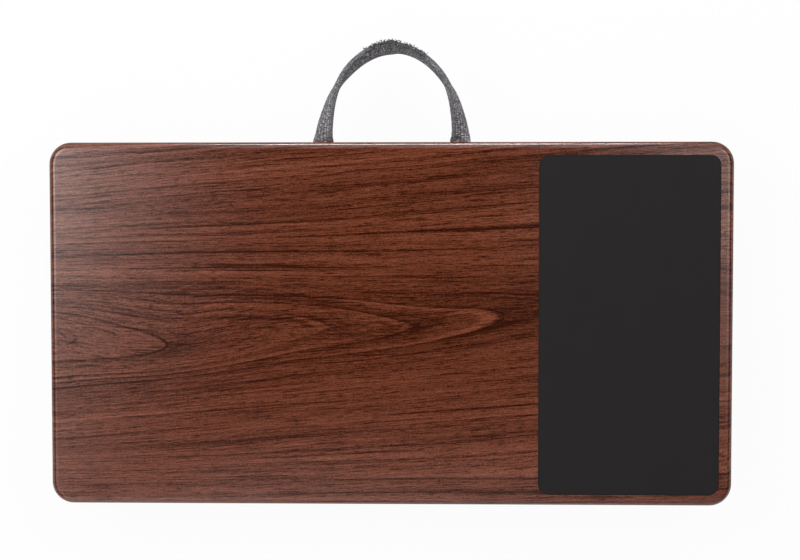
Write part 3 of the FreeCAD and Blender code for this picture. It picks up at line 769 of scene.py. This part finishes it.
def tab_place(side, run):
    """The middle of a sewn end, run along from its inner end to the pivot, and its lean."""
    y = tab_low.y + run
    drift = ARCH_DRIFT * ease(y, pivot.y - DRIFT_START, pivot.y)
    lean = math.radians(LEAN[0][1]) * ease(y, pivot.y - TWIST_START, pivot.y)
    return Vector((side * arch_half_span + drift, y, pivot.z)), lean


tab_length = pivot.y - tab_low.y
tab_steps = round(tab_length / STRAP_STEP)
arch_steps = round(math.pi * ARCH_MEAN_RADIUS / STRAP_STEP)
tab_runs = [tab_length * row / tab_steps for row in range(tab_steps)]
strap_line = [tab_place(-1, run) for run in tab_runs]
strap_line += [arch_place(row / arch_steps) for row in range(arch_steps + 1)]
strap_line += [tab_place(1, run) for run in reversed(tab_runs)]
strap_runs = [0]
for (before, _), (after, _) in zip(strap_line, strap_line[1:]):
    strap_runs.append(strap_runs[-1] + (after - before).length)


def strap_frame(row):
    """Middle, width direction and face direction of the strap at a row."""
    middle, lean = strap_line[row]
    ahead = strap_line[min(row + 1, len(strap_line) - 1)][0] - strap_line[max(row - 1, 0)][0]
    outwards = Vector((-ahead.y, ahead.x, 0)).normalized()
    up = Vector((0, 0, 1))
    width_way = up * math.sin(lean) - outwards * math.cos(lean)
    face_way = up * math.cos(lean) + outwards * math.sin(lean)
    return middle, width_way, face_way


def frayed(row):
    """How far the raw edge is worn back at a row."""
    share = (strap_runs[row] - tab_length) / (strap_runs[-1] - 2 * tab_length)
    bite = ease(share, *BITE_OPEN_SHARES) * ease(share, *BITE_CLOSE_SHARES)
    return BITE * bite + WEAR * noise.noise(Vector((strap_runs[row] / WEAR_SPAN, WEAR_SEED, 0)))


def puff(row):
    """Thickness of the folded strap at a row: flat at its sewn ends, plump where it stands on edge."""
    return strap_thickness * (1 + STRAP_PUFF_SHARE * math.sin(strap_line[row][1]) ** STRAP_PUFF_POWER)


def section(round_share, row):
    """Place across and through the folded strap, going once round it. Stitch rows draw it in."""
    turn = 2 * math.pi * round_share
    across = math.copysign(abs(math.cos(turn)) ** FACE_POWER, math.cos(turn)) * strap_width / 2
    through = math.copysign(abs(math.sin(turn)) ** EDGE_POWER, math.sin(turn)) * puff(row) / 2
    row_gap = (abs(across) - STITCH_ROW) / STITCH_GROOVE
    through *= 1 - STITCH_GROOVE_SHARE * math.exp(-row_gap * row_gap)
    if across > 0:
        across -= frayed(row) * ease(across, WEAR_START, strap_width / 2)
    return across, through


strap = bmesh.new()
rows = len(strap_line) - 1
bmesh.ops.create_grid(strap, x_segments=STRAP_ROUND_SEGMENTS, y_segments=rows, size=0.5)
strap_weave = strap.loops.layers.uv.verify()
girth = 2 * (strap_width + strap_thickness)
for face in strap.faces:
    for loop in face.loops:
        run = strap_runs[round((loop.vert.co.y + 0.5) * rows)]
        loop[strap_weave].uv = ((loop.vert.co.x + 0.5) * girth / MM, run / MM)
for vertex in strap.verts:
    row = round((vertex.co.y + 0.5) * rows)
    middle, width_way, face_way = strap_frame(row)
    across, through = section(vertex.co.x + 0.5, row)
    vertex.co = middle + width_way * across + face_way * through
bmesh.ops.remove_doubles(strap, verts=strap.verts, dist=WELD)
bmesh.ops.holes_fill(strap, edges=[edge for edge in strap.edges if edge.is_boundary])
bmesh.ops.recalc_face_normals(strap, faces=strap.faces)
strap_finish = weave_finish("strap_cloth", HEATHER_YARN, HEATHER_TINTS, HEATHER_FLECK, CLOTH_SHEEN)
handle_strap = new_piece("handle_strap", strap, [strap_finish])
softer = handle_strap.modifiers.new("softer", "SUBSURF")
softer.levels = softer.render_levels = 1

strap_sewing = bmesh.new()
for row in range(1, rows, ROWS_PER_STITCH):
    middle, width_way, face_way = strap_frame(row)
    along = face_way.cross(width_way)
    for across in (-STITCH_ROW, STITCH_ROW):
        for face in (1, -1):
            place = middle + width_way * across + face_way * (face * STITCH_HEIGHT_SHARE * puff(row))
            add_stitch(strap_sewing, place, along, face_way * face)
handle_stitches = new_piece("handle_stitches", strap_sewing, [thread_finish])

FRAY_COUNT = 420
FRAY_SHARES = (0.37, 0.66)
FRAY_SEED = 7
FRAY_LENGTHS = (0.5 * MM, 1.6 * MM)
FRAY_SCATTER = (-1 * MM, 1 * MM)
FRAY_LAYER_SHARES = (-0.4, 0.5)
FRAY_SPLAY, FRAY_LIFT = (-0.9, 0.9), (-0.3, 1.0)
FRAY_ROOT_RADIUS, FRAY_TIP_RADIUS = 0.3 * MM, 0.16 * MM
FRAY_SINK = 0.3 * MM
random.seed(FRAY_SEED)
fray = bmesh.new()
for _ in range(FRAY_COUNT):
    share = random.uniform(*FRAY_SHARES)
    row = tab_steps + round(share * arch_steps)
    middle, width_way, face_way = strap_frame(row)
    along = face_way.cross(width_way)
    root = middle + width_way * (strap_width / 2 - frayed(row) - FRAY_SINK)
    root += along * random.uniform(*FRAY_SCATTER)
    root += face_way * random.uniform(*FRAY_LAYER_SHARES) * puff(row)
    way = width_way + along * random.uniform(*FRAY_SPLAY) + face_way * random.uniform(*FRAY_LIFT)
    way.normalize()
    length = random.uniform(*FRAY_LENGTHS)
    turned = way.to_track_quat("Z", "X").to_matrix().to_4x4()
    matrix = Matrix.Translation(root + way * length / 2) @ turned
    thread = {"segments": 4, "radius1": FRAY_ROOT_RADIUS, "radius2": FRAY_TIP_RADIUS, "depth": length}
    bmesh.ops.create_cone(fray, cap_ends=True, matrix=matrix, **thread)
handle_fray = new_piece("handle_fray", fray, [thread_finish])
for piece in (handle_strap, handle_stitches, handle_fray):
    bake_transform(piece)
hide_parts("handle_loop", "handle_tab_left", "handle_tab_right")

# The floor, a plain pale sheet under the desk, the studio lights and the camera overhead. Banks on all
# four sides wash over the desk, and a low strip behind it draws the bright line along the rear edge.

FLOOR_RADIUS = 30
FLOOR_WALL = 5
FLOOR_SEGMENTS = 64
FLOOR_DROP = 0.2 * MM
FLOOR_TINT = (0.8, 0.8, 0.8, 1)
FLOOR_GLOW = 0.94


def pale_sheet():
    """White to the camera and in gloss, and still dimmed a little by the desk's shadow."""
    material, shader = new_finish("pale_sheet", {})
    matt = shader.add("BsdfDiffuse", {}, {"Color": FLOOR_TINT})
    white = shader.add("Emission", {}, {"Strength": 1})
    camera_ray = shader.add("LightPath", {}, {}, out="Is Camera Ray")
    rays = [Wire(camera_ray.socket.node.outputs[kind]) for kind in ("Is Glossy Ray", "Is Transmission Ray")]
    seen = camera_ray.maths("MINIMUM", camera_ray + rays[0] + rays[1], 1)
    mixed = shader.add("MixShader", {}, {0: seen * FLOOR_GLOW, 1: matt, 2: white})
    behind = shader.add("NewGeometry", {}, {}, out="Backfacing")
    clear = shader.add("BsdfTransparent", {}, {})
    sheet = shader.add("MixShader", {}, {0: behind, 1: mixed, 2: clear})
    output = material.node_tree.nodes["Material Output"]
    material.node_tree.links.new(sheet.socket, output.inputs["Surface"])
    return material


room = bmesh.new()
bmesh.ops.create_circle(room, cap_ends=True, segments=FLOOR_SEGMENTS, radius=FLOOR_RADIUS)
wall = {"radius1": FLOOR_RADIUS, "radius2": FLOOR_RADIUS, "depth": FLOOR_WALL}
half_way_up = Matrix.Translation((0, 0, FLOOR_WALL / 2))
bmesh.ops.create_cone(room, segments=FLOOR_SEGMENTS, matrix=half_way_up, **wall)
bmesh.ops.translate(room, verts=room.verts, vec=(0, 0, -FLOOR_DROP))
room.normal_update()
inside = Vector((0, 0, 1))
outward = [face for face in room.faces if face.normal.dot(inside - face.calc_center_median()) < 0]
bmesh.ops.reverse_faces(room, faces=outward)
new_piece("floor", room, [pale_sheet()])

BANK_RADIUS = 1.5
BANK_STEPS = 24
# Brightness of each bank at degrees from overhead
LEFT_RISE = (
    (9, 0), (13, 0.18), (16.2, 0.54), (19.4, 1.15), (22.5, 2.0), (25, 2.6), (28, 5.4), (49, 5.4), (55, 0),
)
RIGHT_RISE = ((9, 0), (12.3, 0.5), (16, 1.4), (24.4, 1.9), (28, 3.0), (49, 3.0), (55, 0))
FRONT_RISE = ((9.5, 0), (11.2, 0.03), (13.5, 0.2), (15.7, 0.7), (18, 1.0), (62, 0.8), (80, 0.12))
REAR_RISE = ((20, 0), (30, 1.3), (74, 1.3), (82, 0))
# How much of that is left along a bank, in metres from the desk's middle: the sides dim to the front
LEFT_FADE = (
    (-0.8, 0.3), (-0.37, 0.29), (-0.3, 0.25), (-0.245, 0.2), (-0.12, 0.41), (0, 0.65), (0.1, 1), (0.85, 1),
)
RIGHT_FADE = ((-0.8, 0.04), (-0.37, 0.14), (-0.245, 0.21), (-0.12, 0.43), (0, 0.68), (0.1, 1), (0.85, 1))
FRONT_FADE = ((-1.2, 1.6), (-0.45, 1.35), (-0.1, 1), (0.3, 0.75), (1.2, 0.7))
REAR_FADE = ((-1.2, 0.9), (0, 1), (1.2, 0.9))
BANKS = (
    ("left_bank", (-1, 0, 0), LEFT_RISE, LEFT_FADE),
    ("right_bank", (1, 0, 0), RIGHT_RISE, RIGHT_FADE),
    ("front_bank", (0, -1, 0), FRONT_RISE, FRONT_FADE),
    ("rear_bank", (0, 1, 0), REAR_RISE, REAR_FADE),
)
# The strip lies just inside the rear bank, in degrees from overhead and metres
STRIP_TILT = 85.5
STRIP_BRIGHTNESS = 25
STRIP_SIZE = (0.74, 0.2)
STRIP_SHIFT = 0.03
STRIP_RADIUS = 1.45
WORLD_LEVEL = 0.03


def light_bank(name, outwards, rise, fade):
    """A curved sheet of light about the desk: degrees from overhead one way, metres the other."""
    dark = {"Base Color": (0, 0, 0, 1), "Specular IOR Level": 0, "Emission Strength": 1}
    material, shader = new_finish(name, dark)
    tilt, place, _ = split(shader.add("TexCoord", {}, {}, out="UV"))
    brightness = curve_through(tilt, rise, "LINEAR") * curve_through(place, fade, "LINEAR")
    shader.put({"Emission Color": brightness})
    outwards = Vector(outwards)
    along = Vector((abs(outwards.y), abs(outwards.x), 0))
    sheet = bmesh.new()
    bmesh.ops.create_grid(sheet, x_segments=BANK_STEPS, y_segments=1, size=0.5)
    spread = sheet.loops.layers.uv.verify()
    for vertex in sheet.verts:
        tilt = rise[0][0] + (vertex.co.x + 0.5) * (rise[-1][0] - rise[0][0])
        place = fade[0][0] + (vertex.co.y + 0.5) * (fade[-1][0] - fade[0][0])
        for loop in vertex.link_loops:
            loop[spread].uv = (tilt, place)
        away = outwards * math.sin(math.radians(tilt)) + Vector((0, 0, math.cos(math.radians(tilt))))
        vertex.co = film_middle + away * BANK_RADIUS + along * place
    bank = new_piece(name, sheet, [material])
    bank.visible_camera = False


for bank in BANKS:
    light_bank(*bank)
rear_light = bpy.data.lights.new("rear_strip", "AREA")
rear_light.shape = "RECTANGLE"
rear_light.size, rear_light.size_y = STRIP_SIZE
rear_light.energy = STRIP_BRIGHTNESS * math.pi * STRIP_SIZE[0] * STRIP_SIZE[1]
rear_strip = bpy.data.objects.new("rear_strip", rear_light)
away = Vector((0, math.sin(math.radians(STRIP_TILT)), math.cos(math.radians(STRIP_TILT))))
rear_strip.location = film_middle + away * STRIP_RADIUS + Vector((STRIP_SHIFT, 0, 0))
rear_strip.rotation_euler = (-away).to_track_quat("-Z", "Y").to_euler()
rear_strip.visible_camera = False
scene = bpy.context.scene
scene.collection.objects.link(rear_strip)
scene.world = bpy.data.worlds.new("studio")
scene.world.use_nodes = True
sky = scene.world.node_tree.nodes["Background"].inputs
sky["Color"].default_value = (1, 1, 1, 1)
sky["Strength"].default_value = WORLD_LEVEL
scene.view_settings.view_transform = "Standard"

CAMERA_PLACE = (0.0377, 0.0438, 1.2)
CAMERA_TURN = (-2.418, 1.487, -0.016)
CAMERA_LENS, CAMERA_SENSOR = 66.58, 36
camera = bpy.data.objects.new("camera", bpy.data.cameras.new("camera"))
camera.data.lens = CAMERA_LENS
camera.data.sensor_width = CAMERA_SENSOR
camera.location = CAMERA_PLACE
camera.rotation_euler = [math.radians(turn) for turn in CAMERA_TURN]
scene.collection.objects.link(camera)
scene.camera = camera
